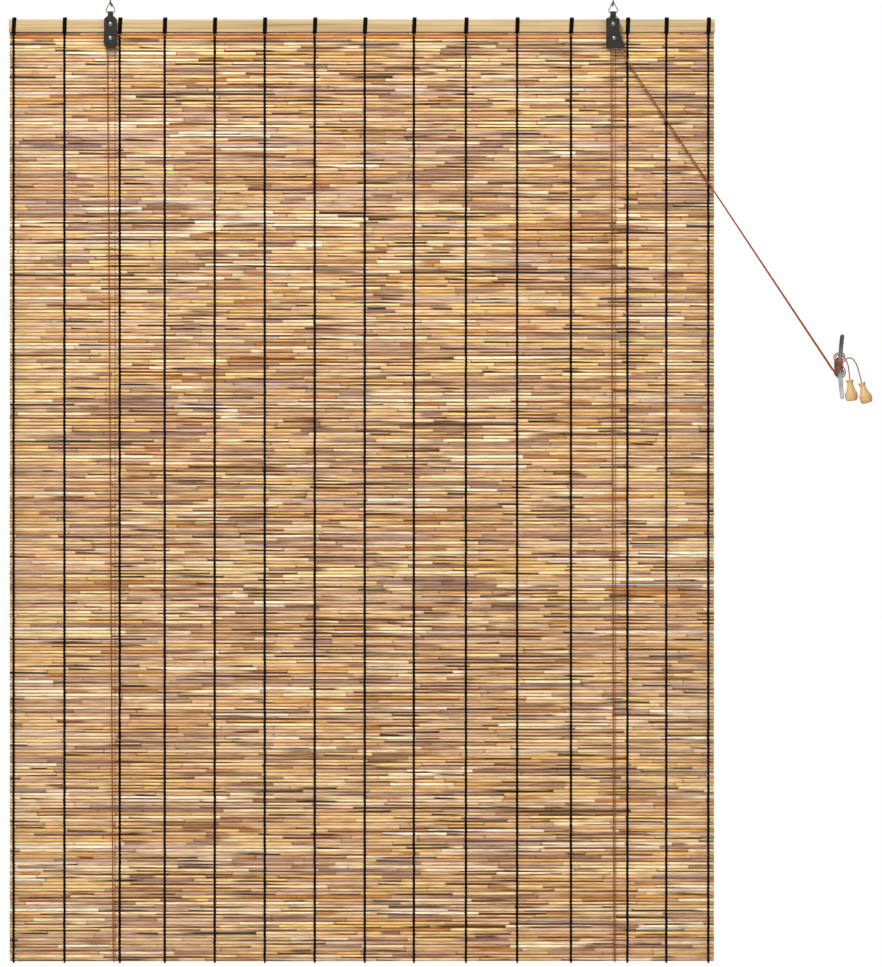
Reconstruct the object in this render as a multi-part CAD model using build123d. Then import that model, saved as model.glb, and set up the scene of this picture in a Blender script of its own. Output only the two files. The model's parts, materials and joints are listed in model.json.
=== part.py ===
from build123d import *
from math import pi, radians, tan
import os

# A reed roll-up blind, hung by two wire bails from two wall hooks, with its lift
# cords, its pulleys and the wall cleat that the cords are tied off on.
# Millimetres. +X is to the viewer's right, +Y goes into the wall, +Z is up.
# The origin is on the wall face, midway between the two hooks.

# ---- driving dimensions -------------------------------------------------------
BLIND_WIDTH = 1200.0
RAIL_HEIGHT = 21.4
RAIL_THICKNESS = 10.0
RAIL_TOP_Z = -26.0
RAIL_BACK_Y = -8.0
RAIL_EDGE_ROUND = 0.8

REED_DIAMETER = 5.3
REED_PITCH = 5.62
REED_END_MARGIN = 1.5
TOP_REEDS = 17
STRIP_REEDS = 8
STRIP_COUNT = 33
MAT_GAP = 0.2

WARP_X = [-592.0, -505.5, -411.5, -335.0, -250.0, -165.0, -80.0, 5.0,
          88.5, 177.0, 264.0, 355.5, 451.5, 517.5, 589.0]
WARP_WIDTH = 2.4
WARP_THICKNESS = 0.7
WARP_CLEARANCE = 0.05
WARP_OVERHANG = 0.9
SLEEVE_WIDTH = 6.0
SLEEVE_WALL = 1.4
SLEEVE_RISE = 4.5
SLEEVE_CLEARANCE = 0.1
END_KNOT_RADIUS = 1.9
END_KNOT_GAP = 0.2

PLATE = 1.2
LEFT_HOUSING_X = -427.0
RIGHT_HOUSING_X = 427.0
HOUSING_BOTTOM_Z = -75.2
EYE_Z = -14.6
EYE_BORE_RADIUS = 1.2
NECK_BOTTOM_Z = -20.6
SHOULDER_Z = -24.4
MOUNT_RIVET_Z = -34.2
AXLE_Z = -58.0
RIGHT_AXLE_X = 428.4
RIVET_SHAFT_RADIUS = 1.7
RIVET_HEAD_RADIUS = 3.9
RIVET_HEAD_HEIGHT = 1.6
RIVET_SHOULDER_RADIUS = 2.6
RIVET_TAIL_RADIUS = 3.2
RIVET_TAIL_HEIGHT = 1.0
RIVET_FIT = 0.1

SHEAVE_RADIUS = 7.0
SHEAVE_WIDTH = 5.0
SHEAVE_SIDE_GAP = 0.6
SHEAVE_BORE_FIT = 0.2
GUIDE_ROLLER_RADIUS = 2.8
GUIDE_PIN_RADIUS = 1.2
GUIDE_X = 438.3
GUIDE_Z = -70.2

BAIL_WIRE = 1.6
BAIL_HALF_BASE = 6.3
BAIL_HALF_WIDTH = 7.6
BAIL_SHOULDER_Z = -10.2
HOOK_WIRE = 2.4
HOOK_FIT = 0.3
HOOK_TIP_Z = 6.5
HOOK_FRONT_GAP = 4.2
HOOK_BEND_RADIUS = 2.6
HOOK_DEPTH_IN_WALL = 30.0
HOOK_THREAD_RADIUS = 1.5
HOOK_THREAD_START = -1.0    # a little proud of the wall

CORD = 2.0
CORD_FIT = 0.35
CORD_HOLE_RADIUS = 1.4
CORD_HOLE_Z = -38.0
KNOT_RADIUS = 2.2
KNOT_POCKET_RADIUS = 3.4
KNOT_POCKET_DEPTH = 4.9
LEFT_KNOT_X = -420.0
RIGHT_KNOT_X = 431.0

CLEAT_X = 813.0
CLEAT_BASE_X = 811.0
CLEAT_NECK_X = 812.6
CLEAT_TIP_SHIFT = 3.7
CLEAT_Z = -616.5
CLEAT_LENGTH = 110.0
CLEAT_STAND_OFF = 15.0
CLEAT_BASE_WIDTH = 15.0
CLEAT_BASE_HEIGHT = 32.0
CLEAT_BASE_THICKNESS = 3.0
CLEAT_NECK_RADIUS = 5.0
CLEAT_SCREW_SPACING = 20.0
CLEAT_SCREW_RADIUS = 1.9
CLEAT_THREAD_RADIUS = 1.5
CLEAT_THREAD_START = 1.0    # a little inside the wall
CLEAT_SCREW_HEAD_RADIUS = 3.0
CLEAT_SCREW_HEAD_HEIGHT = 1.4
CLEAT_SCREW_LENGTH = 25.0

ACORN_LENGTH = 36.0
ACORN_RADIUS = 10.85
ACORN_RIM_RADIUS = 6.5
ACORN_NECK_RADIUS = 5.0
ACORN_BORE_RADIUS = 1.4
ACORN_POCKET_RADIUS = 4.5
ACORN_POCKET_DEPTH = 13.0

# ---- places worked out from them ----------------------------------------------
RAIL_FRONT_Y = RAIL_BACK_Y - RAIL_THICKNESS
RAIL_BOTTOM_Z = RAIL_TOP_Z - RAIL_HEIGHT
MAT_Y = (RAIL_BACK_Y + RAIL_FRONT_Y) / 2
MAT_TOP_Z = RAIL_BOTTOM_Z - MAT_GAP
REED_COUNT = TOP_REEDS + STRIP_REEDS * STRIP_COUNT
MAT_BOTTOM_Z = MAT_TOP_Z - REED_COUNT * REED_PITCH
LAST_REED_Z = MAT_BOTTOM_Z + REED_PITCH / 2

HOUSING_BACK_Y = RAIL_FRONT_Y
EYE_Y = HOUSING_BACK_Y - PLATE - EYE_BORE_RADIUS
LEFT_GAP = SHEAVE_WIDTH + 2 * SHEAVE_SIDE_GAP
RIGHT_GAP = 2 * SHEAVE_WIDTH + 3 * SHEAVE_SIDE_GAP
REAR_SHEAVE_Y = HOUSING_BACK_Y - PLATE - SHEAVE_SIDE_GAP - SHEAVE_WIDTH / 2
FRONT_SHEAVE_Y = REAR_SHEAVE_Y - SHEAVE_WIDTH - SHEAVE_SIDE_GAP

WRAP_RADIUS = 5.3          # a cord's centre line on a sheave
GROOVE_RADIUS = CORD / 2 + CORD_FIT
LEFT_DROP_X = LEFT_HOUSING_X - WRAP_RADIUS
RIGHT_DROP_X = RIGHT_AXLE_X - WRAP_RADIUS
RIGHT_EXIT_X = RIGHT_AXLE_X + WRAP_RADIUS
OVER_SHEAVE_Z = AXLE_Z + WRAP_RADIUS
UNDER_MAT_RADIUS = REED_DIAMETER / 2 + CORD / 2 + CORD_FIT
HOOK_RADIUS = HOOK_WIRE / 2
BAIL_APEX_Z = HOOK_RADIUS + HOOK_FIT + BAIL_WIRE / 2
HOOK_FRONT_Y = EYE_Y - HOOK_FRONT_GAP

Y_AXIS = (0, 1, 0)
FORWARD = (0, -1, 0)


# ---- small helpers -------------------------------------------------------------
def rod(x, y_low, y_high, z, radius):
    """A round bar along Y."""
    plane = Plane((x, y_low, z), x_dir=(1, 0, 0), z_dir=Y_AXIS)
    return extrude(plane * Circle(radius), y_high - y_low)


def block(x_low, x_high, y_low, y_high, z_low, z_high):
    centre = ((x_low + x_high) / 2, (y_low + y_high) / 2, (z_low + z_high) / 2)
    return Pos(*centre) * Box(x_high - x_low, y_high - y_low, z_high - z_low)


def group(solids):
    return Compound(children=[s for item in solids for s in item.solids()])


def export(name, shape):
    export_step(shape, f"parts/{name}.step")


# ---- head rail -----------------------------------------------------------------
def head_rail():
    half = BLIND_WIDTH / 2
    rail = block(-half, half, RAIL_FRONT_Y, RAIL_BACK_Y, RAIL_BOTTOM_Z, RAIL_TOP_Z)
    rail = fillet(rail.edges().filter_by(Axis.X), RAIL_EDGE_ROUND)
    for x in (LEFT_HOUSING_X, RIGHT_HOUSING_X):
        rail -= rod(x, RAIL_FRONT_Y - 1, RAIL_BACK_Y + 1, MOUNT_RIVET_Z,
                    RIVET_SHAFT_RADIUS + RIVET_FIT)
    for x in (LEFT_KNOT_X, RIGHT_KNOT_X):
        rail -= cord_hole(x)
    return rail


def cord_hole(x):
    """A hole through the rail, with a pocket in front for the knot and a flared mouth behind."""
    pocket_floor = RAIL_FRONT_Y + KNOT_POCKET_DEPTH
    hole = rod(x, RAIL_FRONT_Y - 1, RAIL_BACK_Y + 1, CORD_HOLE_Z, CORD_HOLE_RADIUS)
    hole += rod(x, RAIL_FRONT_Y - 1, pocket_floor, CORD_HOLE_Z, KNOT_POCKET_RADIUS)
    mouth_depth = 2.6
    mouth_plane = Plane((x, RAIL_BACK_Y - mouth_depth / 2, CORD_HOLE_Z),
                        x_dir=(1, 0, 0), z_dir=Y_AXIS)
    hole += mouth_plane * Cone(CORD_HOLE_RADIUS, CORD_HOLE_RADIUS + 2.4, mouth_depth)
    return hole


# ---- mat -----------------------------------------------------------------------
def reed(z):
    half = BLIND_WIDTH / 2 - REED_END_MARGIN
    plane = Plane((-half, MAT_Y, z), x_dir=Y_AXIS, z_dir=(1, 0, 0))
    return extrude(plane * Circle(REED_DIAMETER / 2), 2 * half)


def warp_stitch(x, z_low, z_high, side):
    """The stretch of one warp that ties a strip's reeds, on the front (-1) or the back (+1)."""
    inner = REED_DIAMETER / 2 + WARP_CLEARANCE
    faces = sorted((MAT_Y + side * inner, MAT_Y + side * (inner + WARP_THICKNESS)))
    return block(x - WARP_WIDTH / 2, x + WARP_WIDTH / 2, *faces, z_low, z_high)


def mat_strip(first_reed, count):
    """Reeds counted from the top, with the warp stretches that tie them."""
    places = [MAT_TOP_Z - (n + 0.5) * REED_PITCH for n in range(first_reed, first_reed + count)]
    low, high = places[-1] - WARP_OVERHANG, places[0] + WARP_OVERHANG
    pieces = [reed(z) for z in places]
    for x in WARP_X:
        pieces += [warp_stitch(x, low, high, side) for side in (-1, 1)]
    return group(pieces)


def warp_sleeve(x):
    """A thick black wrapping that carries a warp over the head rail."""
    half = SLEEVE_WIDTH / 2
    front, back = RAIL_FRONT_Y - SLEEVE_CLEARANCE, RAIL_BACK_Y + SLEEVE_CLEARANCE
    top = RAIL_TOP_Z + SLEEVE_CLEARANCE
    outer = block(x - half, x + half, front - SLEEVE_WALL, back + SLEEVE_WALL,
                  RAIL_BOTTOM_Z, RAIL_TOP_Z + SLEEVE_RISE)
    outer = fillet(outer.edges().filter_by(Axis.X).group_by(Axis.Z)[-1], SLEEVE_WALL + 1)
    return outer - block(x - half - 1, x + half + 1, front, back, RAIL_BOTTOM_Z - 1, top)


def warp_end_knot(x):
    z = LAST_REED_Z - REED_DIAMETER / 2 - END_KNOT_GAP - END_KNOT_RADIUS
    return Pos(x, MAT_Y, z) * Sphere(END_KNOT_RADIUS)


# ---- pulley housings -----------------------------------------------------------
def folded_strip(gap, centre_x):
    """A strip folded over the bail: its back half flat on the rail, its front half stepped out by gap."""
    back, inner_back = HOUSING_BACK_Y, HOUSING_BACK_Y - PLATE
    neck_front = EYE_Y - EYE_BORE_RADIUS
    front = inner_back - gap
    outer = [(back, HOUSING_BOTTOM_Z), (back, EYE_Z), (neck_front - PLATE, EYE_Z),
             (neck_front - PLATE, NECK_BOTTOM_Z), (front - PLATE, SHOULDER_Z),
             (front - PLATE, HOUSING_BOTTOM_Z)]
    below = HOUSING_BOTTOM_Z - 1
    step = PLATE / 2
    inner = [(inner_back, below), (inner_back, EYE_Z), (neck_front, EYE_Z),
             (neck_front, NECK_BOTTOM_Z - step), (front, SHOULDER_Z - step), (front, below)]
    eye = Pos(EYE_Y, EYE_Z)
    section = Polygon(*outer, align=None) + eye * Circle(EYE_BORE_RADIUS + PLATE)
    section -= Polygon(*inner, align=None) + eye * Circle(EYE_BORE_RADIUS)
    reach = 30.0
    plane = Plane((centre_x - reach, 0, 0), x_dir=Y_AXIS, z_dir=(1, 0, 0))
    return extrude(plane * section, 2 * reach, dir=(1, 0, 0))


def cut_to_outline(strip, outline, centre_x, gap):
    """Leaves of the strip only what lies behind the outline, given as (x from the centre, z)."""
    depth = gap + 3 * PLATE + 4
    plane = Plane((centre_x, HOUSING_BACK_Y + 1, 0), x_dir=(1, 0, 0), z_dir=FORWARD)
    return strip & extrude(plane * Polygon(*outline, align=None), depth, dir=FORWARD)


def left_housing():
    neck, plate, skirt, foot = 4.5, 10.65, 11.3, 6.8
    side = [(neck, EYE_Z + 4), (neck, NECK_BOTTOM_Z + 1), (plate, SHOULDER_Z - 1), (plate, -45.5),
            (skirt, -47.0), (skirt, -67.5), (foot, HOUSING_BOTTOM_Z)]
    outline = side + [(-x, z) for x, z in reversed(side)]
    shell = cut_to_outline(folded_strip(LEFT_GAP, LEFT_HOUSING_X), outline, LEFT_HOUSING_X, LEFT_GAP)
    return shell - rivet_holes(LEFT_HOUSING_X, LEFT_HOUSING_X)


def right_housing():
    neck, left_edge, right_edge, flare = 5.0, -11.9, 10.5, 19.6
    outline = [(-neck, EYE_Z + 4), (-neck, NECK_BOTTOM_Z + 1), (left_edge, SHOULDER_Z - 1.3),
               (left_edge, HOUSING_BOTTOM_Z), (flare - 2, HOUSING_BOTTOM_Z), (flare, -71.8),
               (right_edge, -46.5), (right_edge, SHOULDER_Z - 1.3), (neck, NECK_BOTTOM_Z + 1),
               (neck, EYE_Z + 4)]
    shell = cut_to_outline(folded_strip(RIGHT_GAP, RIGHT_HOUSING_X), outline, RIGHT_HOUSING_X,
                           RIGHT_GAP)
    shell -= rivet_holes(RIGHT_HOUSING_X, RIGHT_AXLE_X)
    return shell - rod(GUIDE_X, -60, 0, GUIDE_Z, GUIDE_PIN_RADIUS + RIVET_FIT)


def rivet_holes(mount_x, axle_x):
    radius = RIVET_SHAFT_RADIUS + RIVET_FIT
    return rod(mount_x, -60, 0, MOUNT_RIVET_Z, radius) + rod(axle_x, -60, 0, AXLE_Z, radius)


def rivet(x, z, gap, back_y, shoulder):
    """A domed rivet from the housing's front face to back_y, with a shoulder between the halves if wanted."""
    front = HOUSING_BACK_Y - 2 * PLATE - gap
    dome = Pos(x, front, z) * Sphere(RIVET_HEAD_RADIUS * 1.2)
    keep = block(x - 10, x + 10, front - 10, front, z - 10, z + 10)
    sunk = RIVET_HEAD_RADIUS * 1.2 - RIVET_HEAD_HEIGHT
    dome = (Pos(0, sunk, 0) * dome) & keep & rod(x, front - 5, front, z, RIVET_HEAD_RADIUS)
    body = rod(x, front, back_y, z, RIVET_SHAFT_RADIUS)
    tail = rod(x, back_y, back_y + RIVET_TAIL_HEIGHT, z, RIVET_TAIL_RADIUS)
    whole = dome + body + tail
    if shoulder:
        fit = 0.1
        whole += rod(x, front + PLATE + fit, HOUSING_BACK_Y - PLATE - fit, z, RIVET_SHOULDER_RADIUS)
    return whole


def guide_pin():
    front = HOUSING_BACK_Y - 2 * PLATE - RIGHT_GAP
    pin = rod(GUIDE_X, front, HOUSING_BACK_Y, GUIDE_Z, GUIDE_PIN_RADIUS)
    return pin + rod(GUIDE_X, HOUSING_BACK_Y, HOUSING_BACK_Y + 0.8, GUIDE_Z, GUIDE_PIN_RADIUS + 0.8)


def sheave(x, y):
    half = SHEAVE_WIDTH / 2
    wheel = rod(x, y - half, y + half, AXLE_Z, SHEAVE_RADIUS)
    wheel = chamfer(wheel.edges().filter_by(GeomType.CIRCLE), 0.5)
    wheel -= rod(x, y - half - 1, y + half + 1, AXLE_Z, RIVET_SHAFT_RADIUS + SHEAVE_BORE_FIT)
    plane = Plane((x, y, AXLE_Z), x_dir=(1, 0, 0), z_dir=Y_AXIS)
    wheel -= plane * Torus(WRAP_RADIUS, GROOVE_RADIUS)
    slot = plane * Cylinder(SHEAVE_RADIUS + 1, 2 * GROOVE_RADIUS)
    return wheel - (slot - plane * Cylinder(WRAP_RADIUS, 2 * GROOVE_RADIUS + 1))


def guide_roller():
    inner_back = HOUSING_BACK_Y - PLATE
    back, front = inner_back - SHEAVE_SIDE_GAP, inner_back - RIGHT_GAP + SHEAVE_SIDE_GAP
    roller = rod(GUIDE_X, front, back, GUIDE_Z, GUIDE_ROLLER_RADIUS)
    return roller - rod(GUIDE_X, front - 1, back + 1, GUIDE_Z, GUIDE_PIN_RADIUS + SHEAVE_BORE_FIT)


# ---- bails and hooks -----------------------------------------------------------
def bail(x):
    """A closed wire triangle: its base runs through the housing's fold, its apex over the hook."""
    apex_radius = BAIL_APEX_Z
    points = [(0, EYE_Z), (BAIL_HALF_BASE, EYE_Z), (BAIL_HALF_WIDTH, BAIL_SHOULDER_Z),
              (apex_radius * 0.62, BAIL_APEX_Z), (0, BAIL_APEX_Z)]
    path = FilletPolyline(*[(x + u, EYE_Y, z) for u, z in points], radius=[1.5, 2.0, apex_radius * 0.8])
    section = Plane(path @ 0, z_dir=path % 0) * Circle(BAIL_WIRE / 2)
    right = sweep(section, path)
    return right + mirror(right, Plane((x, 0, 0), z_dir=(1, 0, 0)))


def wall_hook(x):
    """A square hook: a shank out of the wall, turned up in front of the bail."""
    path = FilletPolyline((x, HOOK_DEPTH_IN_WALL, 0), (x, HOOK_FRONT_Y, 0),
                          (x, HOOK_FRONT_Y, HOOK_TIP_Z - HOOK_RADIUS), radius=HOOK_BEND_RADIUS)
    wire = sweep(Plane(path @ 0, z_dir=path % 0) * Circle(HOOK_RADIUS), path)
    thread = rod(x, HOOK_THREAD_START, HOOK_DEPTH_IN_WALL, 0, HOOK_THREAD_RADIUS)
    return wire + thread + Pos(x, HOOK_FRONT_Y, HOOK_TIP_Z - HOOK_RADIUS) * Sphere(HOOK_RADIUS)


# ---- cleat ---------------------------------------------------------------------
def cleat():
    """A horn cleat: an oval base, a neck, and a bar of two horns that rise a little at their tips."""
    half = CLEAT_LENGTH / 2
    upper = [(0.0, 3.9, 3.4, 0.0), (0.3, 3.8, 3.1, 0.2), (0.6, 3.7, 2.9, 0.8), (0.93, 3.6, 2.7, 1.9),
             (0.975, 3.1, 2.3, 2.05), (1.0, 1.8, 1.3, 2.1)]
    stations = [(-share, w, d, rise) for share, w, d, rise in upper[:0:-1]] + upper
    sections = []
    for share, half_width, half_depth, rise in stations:
        x = CLEAT_X + CLEAT_TIP_SHIFT * share ** 2
        at = Plane((x, -CLEAT_STAND_OFF - rise, CLEAT_Z + share * half), x_dir=(1, 0, 0))
        sections.append(at * Ellipse(half_width, half_depth))
    horns = loft(sections, ruled=True)
    back = -CLEAT_BASE_THICKNESS
    base_plane = Plane((CLEAT_BASE_X, 0, CLEAT_Z), x_dir=(0, 0, 1), z_dir=FORWARD)
    base = extrude(base_plane * SlotOverall(CLEAT_BASE_HEIGHT, CLEAT_BASE_WIDTH), CLEAT_BASE_THICKNESS)
    neck_plane = Plane((CLEAT_NECK_X, back, CLEAT_Z), x_dir=(0, 0, 1), z_dir=FORWARD)
    neck = extrude(neck_plane * Ellipse(CLEAT_NECK_RADIUS, CLEAT_NECK_RADIUS - 1),
                   CLEAT_STAND_OFF + back)
    body = horns + base + neck
    for z in (-CLEAT_SCREW_SPACING / 2, CLEAT_SCREW_SPACING / 2):
        body -= rod(CLEAT_BASE_X, back - 1, 1, CLEAT_Z + z, CLEAT_SCREW_RADIUS + RIVET_FIT)
    return body


def cleat_screw(side):
    z = CLEAT_Z + side * CLEAT_SCREW_SPACING / 2
    face = -CLEAT_BASE_THICKNESS
    shank = rod(CLEAT_BASE_X, face, CLEAT_THREAD_START, z, CLEAT_SCREW_RADIUS)
    shank += rod(CLEAT_BASE_X, CLEAT_THREAD_START, CLEAT_SCREW_LENGTH + face, z, CLEAT_THREAD_RADIUS)
    head = rod(CLEAT_BASE_X, face - CLEAT_SCREW_HEAD_HEIGHT, face, z, CLEAT_SCREW_HEAD_RADIUS)
    head = fillet(head.faces().sort_by(Axis.Y)[0].edges(), CLEAT_SCREW_HEAD_HEIGHT * 0.6)
    slot = block(CLEAT_BASE_X - 4, CLEAT_BASE_X + 4, face - 4, face - CLEAT_SCREW_HEAD_HEIGHT / 2, z - 0.4, z + 0.4)
    return shank + head - slot


# ---- wooden pulls --------------------------------------------------------------
def acorn(top, direction):
    """A turned bell on a cord: rim, neck, belly, and a pocket below for the knot."""
    L, R = ACORN_LENGTH, ACORN_RADIUS
    foot, belly = R * 0.52, -L * 0.76
    flank = Spline((ACORN_RIM_RADIUS, -1.6), (ACORN_NECK_RADIUS, -L * 0.19), (ACORN_NECK_RADIUS * 1.2, -L * 0.35),
                   (R * 0.88, -L * 0.58), (R, belly), tangents=[(-0.5, -1), (0, -1)])
    bottom = Spline((R, belly), (foot, -L), tangents=[(0, -1), (-1, -0.05)])
    pocket_top = ACORN_POCKET_DEPTH - L
    profile = [Line((ACORN_BORE_RADIUS, 0), (ACORN_RIM_RADIUS, 0)),
               Line((ACORN_RIM_RADIUS, 0), (ACORN_RIM_RADIUS, -1.6)),
               flank,
               bottom,
               Line((foot, -L), (ACORN_POCKET_RADIUS, -L)),
               Line((ACORN_POCKET_RADIUS, -L), (ACORN_POCKET_RADIUS, pocket_top)),
               Line((ACORN_POCKET_RADIUS, pocket_top), (ACORN_BORE_RADIUS, pocket_top)),
               Line((ACORN_BORE_RADIUS, pocket_top), (ACORN_BORE_RADIUS, 0))]
    turned = revolve(Plane.XZ * make_face(profile), Axis.Z)
    down = Vector(*direction).normalized()
    return Plane(top, x_dir=FORWARD, z_dir=-down) * turned


def acorn_cord_end(top, direction):
    """Where the cord stops inside a pull, and where its knot's centre is."""
    down = Vector(*direction).normalized()
    depth = ACORN_LENGTH - ACORN_POCKET_DEPTH
    stop = Vector(*top) + down * (depth + 0.3)
    knot = stop + down * (KNOT_RADIUS + 0.05)
    return tuple(stop), tuple(knot)


# ---- cords ---------------------------------------------------------------------
# Points of each route, chosen by hand. The mat's two lift cords run from a knot in
# the rail, down behind the mat, under it and up its front to a sheave. The two pull
# cords go on from there, over the sheaves, to the cleat and the wooden pulls.
LEFT_LIFT = [(LEFT_KNOT_X, RAIL_FRONT_Y + KNOT_POCKET_DEPTH, CORD_HOLE_Z),
             (LEFT_KNOT_X, RAIL_BACK_Y + 1.8, CORD_HOLE_Z),
             (-419.4, MAT_Y + 4.3, -190.0),
             (-419.5, MAT_Y + UNDER_MAT_RADIUS, LAST_REED_Z - UNDER_MAT_RADIUS),
             (-422.4, MAT_Y - UNDER_MAT_RADIUS, LAST_REED_Z - UNDER_MAT_RADIUS),
             (-428.4, MAT_Y - 4.4, -650.0),
             (LEFT_DROP_X, REAR_SHEAVE_Y, -76.0),
             (LEFT_DROP_X, REAR_SHEAVE_Y, AXLE_Z - 0.05)]
RIGHT_LIFT = [(RIGHT_KNOT_X, RAIL_FRONT_Y + KNOT_POCKET_DEPTH, CORD_HOLE_Z),
              (RIGHT_KNOT_X, RAIL_BACK_Y + 1.8, CORD_HOLE_Z),
              (430.6, MAT_Y + 4.3, -190.0),
              (431.7, MAT_Y + UNDER_MAT_RADIUS, LAST_REED_Z - UNDER_MAT_RADIUS),
              (428.8, MAT_Y - UNDER_MAT_RADIUS, LAST_REED_Z - UNDER_MAT_RADIUS),
              (425.4, MAT_Y - 4.4, -650.0),
              (RIGHT_DROP_X, REAR_SHEAVE_Y, -76.0),
              (RIGHT_DROP_X, REAR_SHEAVE_Y, AXLE_Z - 0.05)]
LEFT_PULL = [(LEFT_DROP_X, REAR_SHEAVE_Y, AXLE_Z),
             (LEFT_DROP_X, REAR_SHEAVE_Y, OVER_SHEAVE_Z),
             (RIGHT_EXIT_X, FRONT_SHEAVE_Y, OVER_SHEAVE_Z),
             (434.1, FRONT_SHEAVE_Y, -71.6),
             (800.4, -15.4, -623.0), (804.4, -19.4, -625.2), (808.8, -23.8, -617.2),
             (815.4, -24.4, -606.8), (820.8, -19.6, -599.6), (820.2, -11.4, -593.8),
             (812.2, -8.0, -591.8), (804.2, -9.8, -594.4), (801.8, -15.2, -601.4),
             (803.4, -18.2, -605.4), (809.9, -21.4, -612.4), (816.8, -21.0, -620.4),
             (820.0, -14.6, -627.2), (817.6, -9.4, -630.2), (812.4, -8.0, -632.0),
             (807.8, -11.0, -630.2), (806.6, -17.0, -626.8), (810.8, -24.4, -618.8),
             (817.2, -24.8, -609.4), (822.6, -22.0, -602.8), (829.4, -18.6, -600.4),
             (836.0, -15.4, -604.0), (842.2, -13.2, -614.2), (846.7, -12.4, -631.6)]
RIGHT_PULL = [(RIGHT_DROP_X, REAR_SHEAVE_Y, AXLE_Z),
              (RIGHT_DROP_X, REAR_SHEAVE_Y, OVER_SHEAVE_Z),
              (RIGHT_EXIT_X, REAR_SHEAVE_Y, OVER_SHEAVE_Z),
              (434.1, REAR_SHEAVE_Y, -71.6),
              (801.6, -14.0, -621.4), (805.2, -9.0, -631.8), (813.0, -8.0, -636.0),
              (820.4, -9.6, -632.4), (822.6, -14.6, -625.6), (819.4, -20.8, -618.4),
              (811.6, -21.2, -609.8), (805.0, -16.4, -602.6), (805.6, -9.8, -597.2),
              (812.0, -8.0, -594.6), (818.0, -9.4, -597.0), (822.6, -11.4, -604.0),
              (826.8, -12.4, -613.0), (828.4, -12.8, -626.4)]
LEFT_ACORN_TOP = (849.8, -12.4, -643.2)
LEFT_ACORN_AXIS = (0.258, 0.0, -0.966)
RIGHT_ACORN_TOP = (829.6, -12.8, -638.4)
RIGHT_ACORN_AXIS = (0.1, 0.0, -0.995)


def turn_at(before, point, after):
    """The angle, in radians, by which a route turns at a point."""
    come, go = Vector(*point) - Vector(*before), Vector(*after) - Vector(*point)
    return radians(come.get_angle(go))


def route_radii(points, fixed):
    """Each corner's radius: as large as its runs allow, or the radius of what the cord goes round."""
    radii = []
    for n in range(1, len(points) - 1):
        before, point, after = points[n - 1], points[n], points[n + 1]
        turn = turn_at(before, point, after)
        shorter = min((Vector(*point) - Vector(*before)).length, (Vector(*after) - Vector(*point)).length)
        radii.append(fixed.get(n, 0.45 * shorter / tan(turn / 2)))
    return radii


def cord_tube(name, points, fixed):
    radii = route_radii(points, fixed)
    path = FilletPolyline(*points, radius=radii)
    tube = sweep(Plane(path @ 0, z_dir=path % 0) * Circle(CORD / 2), path)
    expected = pi * (CORD / 2) ** 2 * path.length
    print(f"{name}: length {path.length:.1f}, volume ratio {tube.volume / expected:.5f}")
    print("  radii " + ", ".join(f"{r:.1f}" for r in radii))
    return tube


# ---- everything ----------------------------------------------------------------
def build_mat():
    export("mat_top", mat_strip(0, TOP_REEDS))
    for n in range(STRIP_COUNT):
        export(f"mat_strip_{n + 1:02d}", mat_strip(TOP_REEDS + n * STRIP_REEDS, STRIP_REEDS))
    export("warp_sleeves", group([warp_sleeve(x) for x in WARP_X]))
    export("warp_end_knots", group([warp_end_knot(x) for x in WARP_X]))


def build_hardware():
    export("head_rail", head_rail())
    export("left_housing", left_housing())
    export("right_housing", right_housing())
    export("mount_rivets", group([rivet(LEFT_HOUSING_X, MOUNT_RIVET_Z, LEFT_GAP, RAIL_BACK_Y, True),
                                  rivet(RIGHT_HOUSING_X, MOUNT_RIVET_Z, RIGHT_GAP, RAIL_BACK_Y, True)]))
    export("left_axle_rivet", rivet(LEFT_HOUSING_X, AXLE_Z, LEFT_GAP, HOUSING_BACK_Y, False))
    export("right_axle_rivet", rivet(RIGHT_AXLE_X, AXLE_Z, RIGHT_GAP, HOUSING_BACK_Y, False))
    export("guide_pin", guide_pin())
    export("guide_roller", guide_roller())
    export("left_pulley", sheave(LEFT_HOUSING_X, REAR_SHEAVE_Y))
    export("right_rear_pulley", sheave(RIGHT_AXLE_X, REAR_SHEAVE_Y))
    export("right_front_pulley", sheave(RIGHT_AXLE_X, FRONT_SHEAVE_Y))
    for side, x in (("left", LEFT_HOUSING_X), ("right", RIGHT_HOUSING_X)):
        export(f"{side}_bail", bail(x))
        export(f"{side}_hook", wall_hook(x))
    export("cleat", cleat())
    export("cleat_screws", group([cleat_screw(-1), cleat_screw(1)]))


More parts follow.
